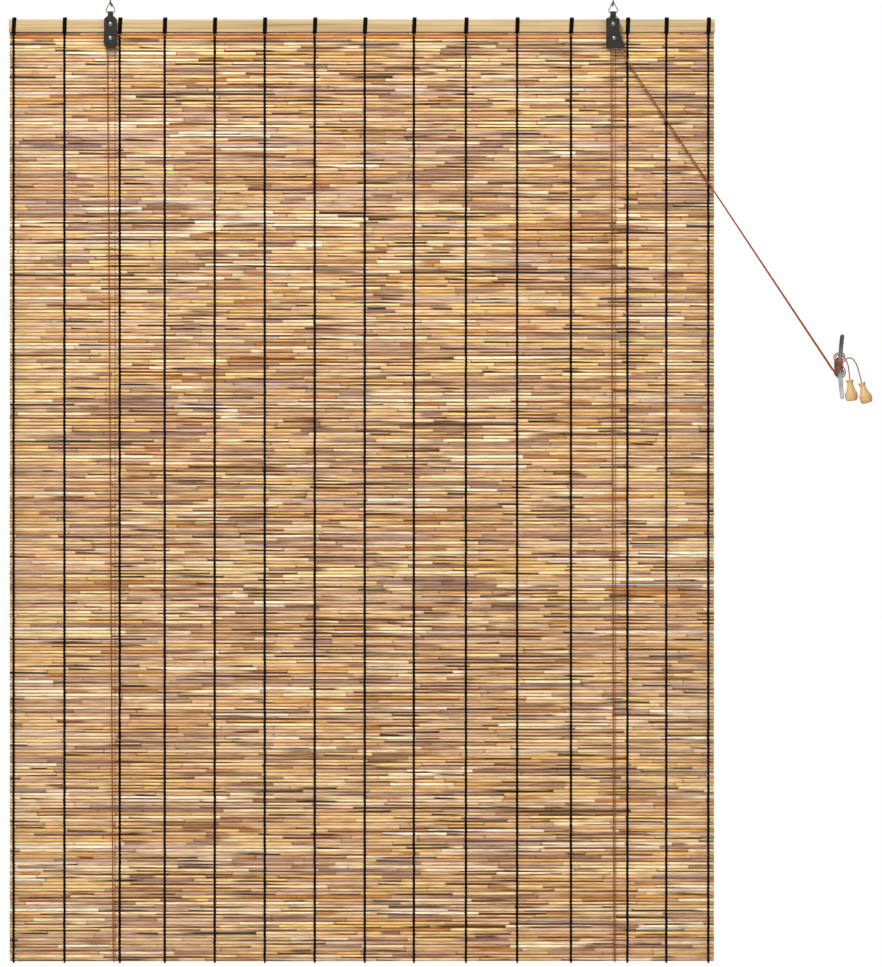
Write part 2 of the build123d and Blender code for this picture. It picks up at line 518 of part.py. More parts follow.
def build_cords():
    guide = GUIDE_ROLLER_RADIUS + CORD / 2 + CORD_FIT
    on_sheave = WRAP_RADIUS - 0.02
    sheaves = {1: on_sheave, 2: on_sheave, 3: guide}
    under = UNDER_MAT_RADIUS - 0.02
    round_mat = {1: 3.0, 3: under, 4: under}
    left_stop, left_knot = acorn_cord_end(LEFT_ACORN_TOP, LEFT_ACORN_AXIS)
    right_stop, right_knot = acorn_cord_end(RIGHT_ACORN_TOP, RIGHT_ACORN_AXIS)
    export("left_lift_cord", cord_tube("left_lift_cord", LEFT_LIFT, round_mat))
    export("right_lift_cord", cord_tube("right_lift_cord", RIGHT_LIFT, round_mat))
    export("left_pull_cord", cord_tube("left_pull_cord", LEFT_PULL + [left_stop], sheaves))
    export("right_pull_cord", cord_tube("right_pull_cord", RIGHT_PULL + [right_stop], sheaves))
    export("left_acorn", acorn(LEFT_ACORN_TOP, LEFT_ACORN_AXIS))
    export("right_acorn", acorn(RIGHT_ACORN_TOP, RIGHT_ACORN_AXIS))
    pocket_y = RAIL_FRONT_Y + KNOT_RADIUS + 0.3
    knots = [(LEFT_KNOT_X, pocket_y, CORD_HOLE_Z), (RIGHT_KNOT_X, pocket_y, CORD_HOLE_Z),
             left_knot, right_knot]
    export("cord_knots", group([Pos(*at) * Sphere(KNOT_RADIUS) for at in knots]))


os.makedirs("parts", exist_ok=True)
build_mat()
build_hardware()
build_cords()
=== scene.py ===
import json
import math
from collections import namedtuple

import bpy
import numpy as np
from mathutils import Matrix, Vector


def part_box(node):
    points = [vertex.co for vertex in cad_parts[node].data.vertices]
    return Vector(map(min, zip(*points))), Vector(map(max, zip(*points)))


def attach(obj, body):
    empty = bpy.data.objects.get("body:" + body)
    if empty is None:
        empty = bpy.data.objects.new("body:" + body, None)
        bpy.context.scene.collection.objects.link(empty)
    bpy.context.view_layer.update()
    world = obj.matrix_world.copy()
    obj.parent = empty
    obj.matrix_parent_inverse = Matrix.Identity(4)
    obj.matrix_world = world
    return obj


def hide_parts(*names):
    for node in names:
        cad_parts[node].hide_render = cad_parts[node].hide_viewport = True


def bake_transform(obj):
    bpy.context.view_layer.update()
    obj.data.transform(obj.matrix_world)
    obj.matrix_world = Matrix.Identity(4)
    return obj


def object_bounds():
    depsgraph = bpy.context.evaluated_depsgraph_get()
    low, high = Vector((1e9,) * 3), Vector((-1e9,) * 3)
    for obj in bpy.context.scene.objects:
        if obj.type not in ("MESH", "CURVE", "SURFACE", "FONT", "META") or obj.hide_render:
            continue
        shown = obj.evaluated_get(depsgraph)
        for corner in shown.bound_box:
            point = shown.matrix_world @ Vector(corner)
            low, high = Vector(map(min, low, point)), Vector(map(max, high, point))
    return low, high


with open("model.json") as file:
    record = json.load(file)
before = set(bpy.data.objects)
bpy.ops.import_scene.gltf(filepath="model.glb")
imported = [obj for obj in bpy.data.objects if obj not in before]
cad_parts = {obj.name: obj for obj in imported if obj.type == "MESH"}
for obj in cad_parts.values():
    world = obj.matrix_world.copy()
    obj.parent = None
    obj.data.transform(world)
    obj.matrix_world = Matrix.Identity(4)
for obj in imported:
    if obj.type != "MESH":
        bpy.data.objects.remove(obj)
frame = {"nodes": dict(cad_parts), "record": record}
CAD_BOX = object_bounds()

MM = 0.001
NODES = frame["nodes"]
STRIPS = sorted(n for n in NODES if n.startswith("mat_strip_"))
BODY_OF = {n: b for b, ns in frame["record"]["behaviour"]["bodies"].items() for n in ns}

# ---- camera --------------------------------------------------------------------
CAMERA_DISTANCE = 12.0
VIEW_CENTRE = (0.1345, -0.8147)    # X and Z
VIEW_HEIGHT = 1.6458
SENSOR = 36.0

camera_data = bpy.data.cameras.new("camera")
camera = bpy.data.objects.new("camera", camera_data)
bpy.context.scene.collection.objects.link(camera)
camera.location = (VIEW_CENTRE[0], -CAMERA_DISTANCE, VIEW_CENTRE[1])
camera.rotation_euler = (math.pi / 2, 0, 0)
camera_data.sensor_width = SENSOR
camera_data.lens = SENSOR * CAMERA_DISTANCE / VIEW_HEIGHT
camera_data.clip_start = 0.1
camera_data.clip_end = 100
bpy.context.scene.camera = camera
bpy.context.scene.view_settings.view_transform = "Standard"


# ---- materials -----------------------------------------------------------------
# Noise scales are in cycles per metre along X, Y and Z.
def srgb(r, g, b):
    """Linear colour of an sRGB one given in 0 to 255."""
    out = []
    for v in (r, g, b):
        v /= 255
        out.append(v / 12.92 if v <= 0.04045 else ((v + 0.055) / 1.055) ** 2.4)
    return (*out, 1.0)


class Nodes:
    """A material under construction."""

    def __init__(self, name, **constants):
        self.material = bpy.data.materials.new(name)
        self.material.use_nodes = True
        self.tree = self.material.node_tree
        self.shader = self.tree.nodes["Principled BSDF"]
        for socket, value in constants.items():
            self.shader.inputs[socket.replace("_", " ")].default_value = value

    def add(self, kind, **settings):
        node = self.tree.nodes.new(kind)
        for key, value in settings.items():
            if hasattr(node, key):
                setattr(node, key, value)
            else:
                node.inputs[key.replace("_", " ")].default_value = value
        return node

    def link(self, source, target):
        self.tree.links.new(source, target)
        return self

    def place(self, scale):
        """Object coordinates, in metres, stretched by scale."""
        coordinates = self.add("ShaderNodeTexCoord")
        mapping = self.add("ShaderNodeMapping")
        mapping.inputs["Scale"].default_value = scale
        self.link(coordinates.outputs["Object"], mapping.inputs["Vector"])
        return mapping.outputs["Vector"]

    def noise(self, scale, detail=3.0, roughness=0.55):
        noise = self.add("ShaderNodeTexNoise", Scale=1.0, Detail=detail, Roughness=roughness)
        self.link(self.place(scale), noise.inputs["Vector"])
        return noise.outputs["Fac"]

    def ramp(self, source, *stops):
        ramp = self.add("ShaderNodeValToRGB")
        elements = ramp.color_ramp.elements
        while len(elements) < len(stops):
            elements.new(0.5)
        for element, (position, colour) in zip(elements, stops):
            element.position = position
            element.color = colour
        self.link(source, ramp.inputs["Fac"])
        return ramp.outputs["Color"]

    def mix(self, blend, factor, first, second):
        mix = self.add("ShaderNodeMix", data_type="RGBA", blend_type=blend)
        for index, value in ((0, factor), (6, first), (7, second)):
            if isinstance(value, bpy.types.NodeSocket):
                self.link(value, mix.inputs[index])
            else:
                mix.inputs[index].default_value = value
        return mix.outputs[2]

    def colour(self, source):
        return self.link(source, self.shader.inputs["Base Color"])

    def rough(self, source, low, high):
        spread = self.add("ShaderNodeMapRange")
        spread.inputs["To Min"].default_value = low
        spread.inputs["To Max"].default_value = high
        self.link(source, spread.inputs["Value"])
        return self.link(spread.outputs["Result"], self.shader.inputs["Roughness"])

    def bump(self, source, strength, depth):
        bump = self.add("ShaderNodeBump", Strength=strength, Distance=depth)
        self.link(source, bump.inputs["Height"])
        return self.link(bump.outputs["Normal"], self.shader.inputs["Normal"])


def grey(value):
    return (value, value, value, 1.0)


def reed_material():
    m = Nodes("reed_skin", Specular_IOR_Level=0.18)
    tone = m.add("ShaderNodeAttribute", attribute_name="tone")
    grain = m.noise((14, 1500, 1500), 4)
    streaks = m.ramp(grain, (0.3, grey(0.66)), (0.7, grey(1.1)))
    colour = m.mix("MULTIPLY", 1.0, tone.outputs["Color"], streaks)
    blotches = m.ramp(m.noise((30, 260, 260), 3), (0.38, (0.62, 0.5, 0.4, 1.0)), (0.56, grey(1.0)))
    colour = m.mix("MULTIPLY", 0.7, colour, blotches)
    specks = m.ramp(m.noise((220, 900, 900), 2), (0.24, grey(0.35)), (0.31, grey(1.0)))
    colour = m.mix("MULTIPLY", 0.7, colour, specks)
    m.colour(colour).rough(grain, 0.5, 0.72).bump(grain, 0.25, 0.0002)
    return m.material


def thread_material():
    m = Nodes("black_thread", Specular_IOR_Level=0.0)
    fibres = m.noise((2600, 2600, 1100), 3)
    m.colour(m.ramp(fibres, (0.3, srgb(5, 5, 5)), (0.75, srgb(26, 23, 23))))
    m.rough(fibres, 0.75, 0.95).bump(fibres, 0.6, 0.0003)
    return m.material


def cord_material():
    m = Nodes("rust_cord", Specular_IOR_Level=0.1)
    fibres = m.noise((2400, 2400, 2400), 3)
    m.colour(m.ramp(fibres, (0.3, srgb(104, 52, 20)), (0.7, srgb(160, 82, 32))))
    m.rough(fibres, 0.65, 0.9).bump(fibres, 0.5, 0.0003)
    return m.material


def rail_material():
    m = Nodes("rail_lath", Specular_IOR_Level=0.3)
    grain = m.noise((3.0, 420, 420), 5, 0.6)
    base = m.ramp(
        grain, (0.28, srgb(134, 106, 68)), (0.5, srgb(178, 152, 110)), (0.78, srgb(194, 172, 130)))
    cloud = m.ramp(m.noise((7, 30, 60), 2), (0.3, grey(0.84)), (0.7, grey(1.04)))
    m.colour(m.mix("MULTIPLY", 1.0, base, cloud)).rough(grain, 0.45, 0.62).bump(grain, 0.2, 0.0002)
    return m.material


def turned_wood_material():
    m = Nodes("turned_wood", Specular_IOR_Level=0.25)
    grain = m.noise((120, 120, 16), 2, 0.4)
    base = m.ramp(grain, (0.3, srgb(176, 142, 96)), (0.7, srgb(196, 160, 110)))
    m.colour(base).rough(grain, 0.5, 0.62)
    return m.material


def paint_material():
    m = Nodes("housing_paint", Specular_IOR_Level=0.25)
    cloud = m.noise((160, 160, 160), 4)
    fine = m.noise((1800, 1800, 1800), 2)
    m.colour(m.ramp(cloud, (0.3, srgb(26, 21, 18)), (0.7, srgb(40, 33, 28))))
    m.rough(cloud, 0.42, 0.6).bump(fine, 0.3, 0.0001)
    return m.material


def metal_material(name, dark, light, stretch, rough, metallic=1.0):
    m = Nodes(name, Metallic=metallic)
    lines = m.noise(stretch, 3)
    m.colour(m.ramp(lines, (0.3, dark), (0.7, light)))
    m.rough(lines, *rough).bump(lines, 0.2, 0.00008)
    return m.material


def cleat_material():
    """Satin cast metal, with a painted reflection that darkens it towards its upper horn and painted
    shade on its base, by the wall.
    """
    low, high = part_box("cleat")
    middle, wall = (low.z + high.z) / 2, high.y
    painted_light_ramps = (    # painted reflection and shade along each axis, from and to where, and how bright it is at each
        ("Z", middle - 38.5 * MM, middle + 41.5 * MM, 1.0, 0.14),
        ("Y", wall - 7.5 * MM, wall - 4.5 * MM, 1.0, 0.45))
    m = Nodes("cast_grey", Metallic=0.35)
    grain = m.noise((240, 240, 60), 3)
    base = m.ramp(grain, (0.3, srgb(140, 141, 144)), (0.7, srgb(176, 177, 180)))
    split = m.add("ShaderNodeSeparateXYZ")
    m.link(m.place((1, 1, 1)), split.inputs["Vector"])
    # Painted reflection and shade, multiplied into the metal's colour.
    for output, *values in painted_light_ramps:
        spread = m.add("ShaderNodeMapRange")
        for socket, value in zip(("From Min", "From Max", "To Min", "To Max"), values):
            spread.inputs[socket].default_value = value
        m.link(split.outputs[output], spread.inputs["Value"])
        base = m.mix("MULTIPLY", 1.0, base, spread.outputs["Result"])
    m.colour(base).rough(grain, 0.35, 0.5).bump(grain, 0.15, 0.00008)
    return m.material


def pulley_material():
    m = Nodes("pulley_moulding", Specular_IOR_Level=0.4)
    fine = m.noise((900, 900, 900), 3)
    m.colour(m.ramp(fine, (0.3, srgb(30, 28, 27)), (0.7, srgb(44, 41, 39))))
    m.rough(fine, 0.4, 0.6).bump(fine, 0.2, 0.0001)
    return m.material


REED = reed_material()
THREAD = thread_material()
CORD = cord_material()
RAIL = rail_material()
TURNED = turned_wood_material()
PAINT = paint_material()
PULLEY = pulley_material()
RIVET = metal_material(
    "plated_steel", srgb(116, 116, 114), srgb(154, 154, 152), (900, 900, 900), (0.2, 0.36))
WIRE = metal_material(
    "drawn_wire", srgb(96, 94, 92), srgb(136, 133, 130), (300, 300, 300), (0.3, 0.5))
HOOK = metal_material(
    "dark_wire", srgb(34, 34, 35), srgb(60, 59, 58), (300, 300, 300), (0.35, 0.55))
CLEAT = cleat_material()
BRASS = metal_material(
    "turned_brass", srgb(150, 116, 58), srgb(196, 160, 92), (600, 80, 600), (0.25, 0.4))

CAD_LOOKS = {
    "head_rail": RAIL, "left_housing": PAINT, "right_housing": PAINT, "mount_rivets": RIVET,
    "left_axle_rivet": RIVET, "right_axle_rivet": RIVET, "guide_pin": PAINT, "guide_roller": BRASS,
    "left_pulley": PULLEY, "right_rear_pulley": PULLEY, "right_front_pulley": PULLEY,
    "left_bail": WIRE, "right_bail": WIRE, "left_hook": HOOK, "right_hook": HOOK,
    "cleat": CLEAT, "cleat_screws": RIVET, "left_acorn": TURNED, "right_acorn": TURNED,
    "cord_knots": CORD,
}
for node, material in CAD_LOOKS.items():
    slots = NODES[node].material_slots
    if not slots:
        NODES[node].data.materials.append(material)
    for slot in slots:
        slot.material = material


# ---- mesh building -------------------------------------------------------------
class Mesh:
    """Tubes gathered into one mesh."""

    def __init__(self):
        self.points, self.faces, self.tones, self.count = [], [], [], 0

    def add(self, rings, tones=None, closed=False):
        """A tube through rings, an array of (rings, sides, 3): capped, or closed into a loop."""
        n, sides, _ = rings.shape
        index = self.count + np.arange(n * sides).reshape(n, sides)
        a, b = (index, np.roll(index, -1, 0)) if closed else (index[:-1], index[1:])
        quads = np.stack([a, np.roll(a, -1, 1), np.roll(b, -1, 1), b], -1).reshape(-1, 4)
        self.faces += quads.tolist()
        if not closed:
            self.faces += [index[0][::-1].tolist(), index[-1].tolist()]
        self.points.append(rings.reshape(-1, 3))
        self.count += n * sides
        if tones is not None:
            self.tones.append(tones.reshape(-1, 4))

    def make(self, name, material, slot):
        mesh = bpy.data.meshes.new(name)
        mesh.from_pydata(np.concatenate(self.points).tolist(), [], self.faces)
        mesh.shade_smooth()
        mesh.materials.append(material)
        if self.tones:
            layer = mesh.color_attributes.new("tone", "FLOAT_COLOR", "POINT")
            layer.data.foreach_set("color", np.concatenate(self.tones).astype(np.float32).ravel())
        mesh.update()
        piece = bpy.data.objects.new(name, mesh)
        bpy.context.scene.collection.objects.link(piece)
        return piece


def steps_of(line):
    return np.linalg.norm(np.diff(line, axis=0), axis=1)


def distance_along(line):
    return np.concatenate([[0.0], np.cumsum(steps_of(line))])


def normals_along(path):
    """Two normals at each point of a path, carried along it without twist."""
    tangent = np.gradient(path, axis=0)
    tangent /= np.linalg.norm(tangent, axis=1, keepdims=True)
    normal = np.empty_like(tangent)
    side = np.cross(tangent[0], (0.0, 1.0, 0.0))
    if np.linalg.norm(side) < 0.1:
        side = np.cross(tangent[0], (1.0, 0.0, 0.0))
    normal[0] = side / np.linalg.norm(side)
    for n in range(1, len(path)):
        v = normal[n - 1] - tangent[n] * (normal[n - 1] @ tangent[n])
        normal[n] = v / np.linalg.norm(v)
    return normal, np.cross(tangent, normal)


def tube(path, radius, sides, lobes=0, depth=0.0, pitch=1.0, start=0.0):
    """Rings round a path. With lobes the section is a rope's, which turns once every pitch."""
    path = np.asarray(path, float)
    u, v = normals_along(path)
    angle = np.arange(sides) * 2 * math.pi / sides
    reach = np.full((len(path), sides), radius)
    if lobes:
        turn = 2 * math.pi * (distance_along(path) + start)[:, None] / pitch
        reach = radius * (1 - depth + depth * np.abs(np.cos(lobes * (angle - turn) / 2)))
    c, s = (reach * np.cos(angle))[..., None], (reach * np.sin(angle))[..., None]
    return path[:, None] + c * u[:, None] + s * v[:, None]


def smooth(x):
    x = np.clip(x, 0, 1)
    return x * x * (3 - 2 * x)


# ---- mat -----------------------------------------------------------------------
PITCH = 5.62 * MM
CAD_REED_GAP = 0.32 * MM
STRIP_REEDS = 8
TOP_LOW, TOP_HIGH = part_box("mat_top")
MAT_Y = (TOP_LOW.y + TOP_HIGH.y) / 2
MAT_TOP_Z = TOP_HIGH.z + CAD_REED_GAP / 2
END_X = TOP_HIGH.x
TOP_REEDS = round((TOP_HIGH.z - TOP_LOW.z) / PITCH)

# A reed's corners, closer together on its front, where it is seen
REED_ANGLES = np.radians((0, 45, 90, 120, 150, 180, 210, 240, 270, 315))
REED_SIDES = len(REED_ANGLES)
REED_STATIONS = 9                        # evenly along a reed, besides those of its nodes and sheaths
REED_RADIUS, REED_RADIUS_SPREAD = 2.84, 0.06    # mm, as are the next four
REED_TAPER = 0.08
REED_LIMITS = (2.66, 2.96)
NODE_SWELL = 0.1
SHEATH_WALL = 0.06
REED_DEPTH = 0.92                        # front to back, as a share of its height

BACK_RUNS = (-419.5 * MM, 431.2 * MM)    # where the reeds are pinched over the cord behind them
PINCH = 0.4                              # mm
PINCH_WIDTH = 1.2 * MM

NODE_WIDTH = 1.1 * MM
FIRST_NODE = (0.01, 0.2)                 # metres, as are the next three
NODE_SPACING = (0.07, 0.2)
SHORT_SHEATH = (0.03, 0.15)
LONG_SHEATH = (0.15, 0.3)
SHEATH_FADE = (0.15, 0.6)                # the faded share of a sheath's length
SHEATH_SHARE = 0.86                      # of the nodes have a sheath
SHORT_SHARE = 0.85                       # of the sheaths are short
STREAK_SHARE = 0.62                      # of the sheaths are dark streaks

STALK_TONES = [srgb(*c) for c in (
    (240, 208, 156), (232, 192, 130), (222, 178, 122), (248, 222, 176), (236, 190, 112),
    (218, 170, 120), (206, 164, 124), (252, 236, 204), (216, 162, 88), (196, 154, 122),
    (240, 208, 140), (188, 150, 124), (230, 182, 134), (204, 166, 142), (234, 202, 162))]
COVER_TONES = [srgb(*c) for c in (
    (190, 150, 118), (172, 128, 92), (160, 122, 98), (208, 168, 124), (184, 124, 66),
    (150, 112, 92))]
STREAK_TONES = [srgb(*c) for c in (
    (56, 26, 6), (40, 20, 8), (86, 42, 8), (118, 62, 14), (28, 14, 6), (72, 38, 18),
    (140, 78, 22), (96, 60, 40), (46, 22, 10))]
# Painted shade in the dent of each reed over a back cord.
PINCH_SHADE_TONE = np.array(srgb(128, 76, 24))
GOLDEN_TONE = np.array(srgb(214, 132, 50))
NODE_TONE = np.array(srgb(70, 42, 22))
GOLDEN_SHARES = {1: 0.85}                # how far a course, counted from the top, is golden

Sheath = namedtuple("Sheath", "blunt inner tail tone centre spread weight")


def bell(xs, place, width):
    """1 at a place, falling to nothing a few widths away."""
    return np.exp(-((xs - place) / width) ** 2)


def pick(tones, rng):
    return np.array(tones[rng.integers(len(tones))])


def node_places(low, high, rng):
    places, x = [], low + rng.uniform(*FIRST_NODE)
    while x < high - FIRST_NODE[0]:
        places.append(x)
        x += rng.uniform(*NODE_SPACING)
    return places


def sheath_at(node, way, rng):
    """A dry leaf sheath that starts bluntly at a node and runs out along the reed, way being 1 or -1.

    Its centre and spread are angles round the reed.
    """
    length = rng.uniform(*SHORT_SHEATH) if rng.random() < SHORT_SHARE else rng.uniform(*LONG_SHEATH)
    tail = node + way * length
    inner = tail - way * rng.uniform(*SHEATH_FADE) * length
    if rng.random() < STREAK_SHARE:
        tone = pick(STREAK_TONES, rng)
        centre, spread = rng.uniform(0.1, 0.8), rng.uniform(0.35, 0.8)
    else:
        tone = pick(COVER_TONES, rng)
        centre, spread = rng.uniform(-0.3, 0.5), rng.uniform(1.0, 1.6)
    return Sheath(node, inner, tail, tone, centre, spread, rng.uniform(0.88, 1.0))


def sheath_cover(sheath, xs, way):
    """How much of a sheath there is at each station, and at each of the reed's corners there."""
    along = (sheath.tail - xs) / (sheath.tail - sheath.inner)
    share = np.where((xs - sheath.blunt) * way >= 0, smooth(along), 0.0)
    turned = REED_ANGLES[None] - sheath.centre + 0.25 * np.sin(xs[:, None] * 60)
    off = np.abs(turned % (2 * math.pi) - math.pi)
    face = smooth((sheath.spread - off) / 0.4 + 0.5) * share[:, None] * sheath.weight
    return share, face


def stations_of(low, high, nodes, sheaths):
    """Where along a reed its tone or its radius changes."""
    places = list(np.linspace(low, high, REED_STATIONS))
    places += [x + step * MM for x in BACK_RUNS for step in (-2.2, -0.9, 0.9, 2.2)]
    places += [x + step * MM for x in nodes for step in (-2.5, -0.5, 0.5, 2.5)]
    for sheath in sheaths:
        places += [sheath.blunt - 0.4 * MM, sheath.blunt + 0.4 * MM, sheath.inner, sheath.tail]
    xs = np.array(sorted(x for x in places if low <= x <= high))
    return xs[np.concatenate([[True], np.diff(xs) > 0.1 * MM])]


def stalk_tones(xs, low, high, nodes, rng):
    """The stalk's own tone, mixed with another between each two nodes."""
    own = pick(STALK_TONES, rng)
    tones = np.empty((len(xs), REED_SIDES, 4))
    edges = [low] + nodes + [high]
    for a, b in zip(edges[:-1], edges[1:]):
        other, share = pick(STALK_TONES, rng), rng.uniform(0.35, 1.0)
        tones[(xs >= a) & (xs <= b)] = own * (1 - share) + other * share
    return tones


def reed_rings(xs, z, radius, rng):
    """The reed's rings, along a line that waves a little and isn't quite level."""
    wave = rng.uniform(0, 6.28, 2)
    slope = rng.uniform(-0.36, 0.36)
    lift = rng.uniform(-0.24, 0.24)
    zs = z + (lift + 0.1 * np.sin(xs * 9 + wave[0]) + slope * xs / END_X) * MM
    ys = MAT_Y + 0.15 * np.sin(xs * 7 + wave[1]) * MM
    rings = np.empty((len(xs), REED_SIDES, 3))
    rings[..., 0] = xs[:, None]
    rings[..., 1] = ys[:, None] + REED_DEPTH * radius[:, None] * np.cos(REED_ANGLES)
    rings[..., 2] = zs[:, None] + radius[:, None] * np.sin(REED_ANGLES)
    return rings


def reed_course(mesh, z, rng, golden):
    """One stalk across the mat: nodes, sheaths that end bluntly at one side, changes of tone, and
    painted shade.
    """
    low = -END_X + rng.uniform(-0.4, 0.5) * MM
    high = END_X + rng.uniform(-0.5, 0.4) * MM
    way = 1 if rng.random() < 0.5 else -1
    nodes = node_places(low, high, rng)
    sheaths = [sheath_at(node, way, rng) for node in nodes if rng.random() < SHEATH_SHARE]
    xs = stations_of(low, high, nodes, sheaths)
    tones = stalk_tones(xs, low, high, nodes, rng)
    radius = rng.normal(REED_RADIUS, REED_RADIUS_SPREAD)
    radius = radius + rng.uniform(-REED_TAPER, REED_TAPER) * (xs - low) / (high - low) * 2
    for sheath in sheaths:
        share, face = sheath_cover(sheath, xs, way)
        tones += (sheath.tone - tones) * face[..., None]
        radius = radius + SHEATH_WALL * share
    for node in nodes:
        near = bell(xs, node, NODE_WIDTH)
        radius = radius + NODE_SWELL * near
        tones += (NODE_TONE - tones) * (near * rng.uniform(0.1, 0.75))[:, None, None]
    radius = np.clip(radius, *REED_LIMITS)
    # Each reed is dented over the cord behind it, with painted shade, darker brown, in the dent.
    for cord_x in BACK_RUNS:
        near = bell(xs, cord_x, PINCH_WIDTH)
        radius = radius - PINCH * near
        tones += (PINCH_SHADE_TONE - tones) * (0.9 * near)[:, None, None]
    tones += (GOLDEN_TONE - tones) * golden
    # Painted shade: each reed darker at its top and bottom, where it meets its neighbours, and a
    # little darker underneath.
    rise = np.sin(REED_ANGLES)
    shade = 1 - 0.4 * smooth((np.abs(rise) - 0.6) / 0.4) - 0.18 * smooth(-rise / 0.8)
    tones *= shade[None, :, None]
    tones[..., 3] = 1
    mesh.add(reed_rings(xs, z, radius * MM, rng), tones)


WARP_X = [-592.0, -505.5, -411.5, -335.0, -250.0, -165.0, -80.0, 5.0,
          88.5, 177.0, 264.0, 355.5, 451.5, 517.5, 589.0]
THREAD_RADIUS = 0.85 * MM
THREAD_SIDES = 5
THREAD_REACH = 3.3 * MM                  # how far a strand stands before or behind a reed's middle
THREAD_SWING = 1.0 * MM
THREAD_SPREAD = 2.6                      # how many times wider than thick a strand lies
THREAD_STEPS = 4                         # to a reed


def warp_strands(mesh, x, top, count, first, rng):
    """Two strands that cross between reeds and pass before and behind each by turns."""
    steps = np.arange(count * THREAD_STEPS + 1) / THREAD_STEPS
    lean = rng.uniform(-0.25, 0.25) * MM
    reed = np.floor(np.minimum(steps, count - 1e-6))
    arch = np.abs(np.sin(math.pi * steps))
    swing = np.where(arch < 1e-6, 0.0, 2 * ((steps + first) % 1.0) - 1)
    for strand in (0, 1):
        side = np.where((reed + first + strand) % 2 == 0, -1, 1)
        path = np.empty((len(steps), 3))
        path[:, 0] = x + lean * np.sin(steps * 0.8 + first) - swing * THREAD_SWING * side
        path[:, 1] = MAT_Y + side * THREAD_REACH * arch ** 0.55
        path[:, 2] = top - steps * PITCH
        rings = tube(path, THREAD_RADIUS, THREAD_SIDES)
        rings[..., 0] += (rings[..., 0] - path[:, None, 0]) * (THREAD_SPREAD - 1)
        mesh.add(rings)


def mat_piece(node, body, count, first):
    """The reeds and warps of one CAD node, its first reed counted from the mat's top."""
    rng = np.random.default_rng(4100 + first)
    top = MAT_TOP_Z - first * PITCH
    reeds, warps = Mesh(), Mesh()
    for n in range(count):
        reed_course(reeds, top - (n + 0.5) * PITCH, rng, GOLDEN_SHARES.get(first + n, 0.0))
    for x in WARP_X:
        warp_strands(warps, x * MM, top, count, first, rng)
    piece = reeds.make(f"reeds_{node}", REED, "reed")
    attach(piece, body)
    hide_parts(node)
    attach(warps.make(f"warps_{node}", THREAD, "black_thread"), body)


mat_piece("mat_top", "rail", TOP_REEDS, 0)
for number, node in enumerate(STRIPS):
    mat_piece(node, BODY_OF[node], STRIP_REEDS, TOP_REEDS + number * STRIP_REEDS)


# ---- cords ---------------------------------------------------------------------
CORD_RADIUS = 1.0 * MM
CORD_SIDES = 9
ROPE = {"lobes": 3, "depth": 0.06, "pitch": 9 * MM}
PULL_STEP = 1.2 * MM
LIFT_STEP = 2.2 * MM

# Millimetres. The two pull cords run from their sheaves to the cleat and the wooden pulls.
LEFT_PULL = [
    (-432.3, -22.3, -58.0), (-432.3, -22.3, -52.7), (-419.0, -22.4, -52.7), (421.0, -27.8, -52.7),
    (433.7, -27.9, -52.7), (434.1, -27.9, -71.6),
    (441.5, -27.6, -82.7), (798.2, -15.5, -619.7),
    (800.4, -15.4, -623.0), (804.4, -19.4, -625.2), (808.8, -23.8, -617.2),
    (815.4, -24.4, -606.8), (820.8, -19.6, -599.6), (820.2, -11.4, -593.8),
    (812.2, -8.0, -591.8), (804.2, -9.8, -594.4), (801.8, -15.2, -601.4),
    (803.4, -18.2, -605.4), (809.9, -21.4, -612.4), (816.8, -21.0, -620.4),
    (820.0, -14.6, -627.2), (817.6, -9.4, -630.2), (812.4, -8.0, -632.0),
    (807.8, -11.0, -630.2), (806.6, -17.0, -626.8), (810.8, -24.4, -618.8),
    (817.2, -24.8, -609.4), (822.6, -22.0, -602.8), (829.4, -18.6, -600.4),
    (836.0, -15.4, -604.0), (842.2, -13.2, -614.2), (846.7, -12.4, -631.6),
    (855.8, -12.4, -665.7)]
RIGHT_PULL = [
    (423.1, -22.3, -58.0), (423.1, -22.3, -52.7), (433.7, -22.3, -52.7), (434.1, -22.3, -71.6),
    (441.5, -22.1, -82.7), (799.4, -14.1, -618.1),
    (801.6, -14.0, -621.4), (805.2, -9.0, -631.8), (813.0, -8.0, -636.0),
    (820.4, -9.6, -632.4), (822.6, -14.6, -625.6), (819.4, -20.8, -618.4),
    (811.6, -21.2, -609.8), (805.0, -16.4, -602.6), (805.6, -9.8, -597.2),
    (812.0, -8.0, -594.6), (818.0, -9.4, -597.0), (822.6, -11.4, -604.0),
    (826.8, -12.4, -613.0), (828.4, -12.8, -626.4), (831.9, -12.8, -661.5)]
# The two lift cords run down behind the mat, under it and up its front to the same sheaves.
LEFT_LIFT = [
    (-420.0, -13.1, -38.0), (-420.0, -6.2, -38.0), (-419.9, -6.5, -52.0), (-419.4, -8.7, -190.0),
    (-419.5, -9.0, -1614.0), (-419.5, -9.0, -1627.3), (-422.4, -17.0, -1627.3),
    (-422.5, -17.0, -1614.0), (-428.4, -17.4, -650.0), (-432.2, -22.2, -88.0),
    (-432.3, -22.3, -76.0), (-432.3, -22.3, -58.05)]
RIGHT_LIFT = [
    (431.0, -13.1, -38.0), (431.0, -6.2, -38.0), (431.0, -6.5, -52.0), (430.6, -8.7, -190.0),
    (431.7, -9.0, -1614.0), (431.7, -9.0, -1627.3), (428.8, -17.0, -1627.3),
    (428.8, -17.0, -1614.0), (425.4, -17.4, -650.0), (423.2, -22.2, -88.0),
    (423.1, -22.3, -76.0), (423.1, -22.3, -58.05)]


